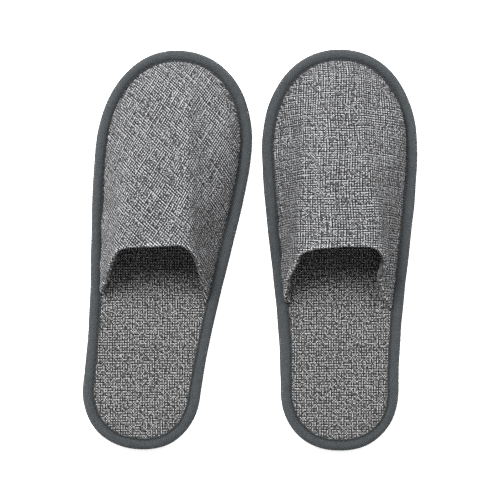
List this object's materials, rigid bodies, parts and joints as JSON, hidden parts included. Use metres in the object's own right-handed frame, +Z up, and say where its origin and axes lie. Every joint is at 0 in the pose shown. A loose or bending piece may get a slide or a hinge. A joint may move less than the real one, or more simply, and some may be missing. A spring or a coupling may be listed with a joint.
{
  "type": "spa slippers",
  "caption": "Pair of closed-toe spa slippers: thin foam soles with woven covers, padded cloth uppers over the toes and a stitched edge tape, lying side by side.",
  "frame": {"origin": "on the floor, under the middle of the pair's bounding box", "axes": "+Y towards the toes, +X to the wearer's right, +Z up"},
  "size_m": [0.238, 0.285, 0.054],
  "materials": {
    "outsole_foam": "matt closed-cell foam",
    "filler_foam": "open-cell foam",
    "linen_weave": "heathered plain weave",
    "edge_tape": "fine twill",
    "thread": "spun polyester thread",
    "upper_foam": "open-cell foam",
    "lining_cloth": "smooth knitted cloth"
  },
  "bodies": {
    "left_forepart": {"left_outsole_forepart": "outsole_foam", "left_filler_forepart": "filler_foam", "left_insole_forepart": "linen_weave", "left_tape_forepart": "edge_tape", "left_stitching_forepart": "thread", "left_upper_outer": "linen_weave", "left_upper_padding": "upper_foam", "left_upper_lining": "lining_cloth", "left_throat_seam": "thread"},
    "left_heel": {"left_outsole_heel": "outsole_foam", "left_filler_heel": "filler_foam", "left_insole_heel": "linen_weave", "left_tape_heel": "edge_tape", "left_stitching_heel": "thread"},
    "right_forepart": {"right_outsole_forepart": "outsole_foam", "right_filler_forepart": "filler_foam", "right_insole_forepart": "linen_weave", "right_tape_forepart": "edge_tape", "right_stitching_forepart": "thread", "right_upper_outer": "linen_weave", "right_upper_padding": "upper_foam", "right_upper_lining": "lining_cloth", "right_throat_seam": "thread"},
    "right_heel": {"right_outsole_heel": "outsole_foam", "right_filler_heel": "filler_foam", "right_insole_heel": "linen_weave", "right_tape_heel": "edge_tape", "right_stitching_heel": "thread"}
  },
  "joints": [
    {"name": "left_sole_flex", "type": "hinge", "parent": "left_forepart", "child": "left_heel", "pos_m": [-0.07027, -0.04906, 0.00885], "axis": [-0.9912, 0.1323, 0], "range_deg": [0, 70], "stiffness_Nm_per_rad": 0.01},
    {"name": "pair_separation", "type": "slide", "parent": "left_forepart", "child": "right_forepart", "axis": [1, 0, 0], "range_m": [0, 0.15]},
    {"name": "right_sole_flex", "type": "hinge", "parent": "right_forepart", "child": "right_heel", "pos_m": [0.06367, -0.0495, 0.00885], "axis": [-1, 0, 0], "range_deg": [0, 70], "stiffness_Nm_per_rad": 0.01}
  ]
}
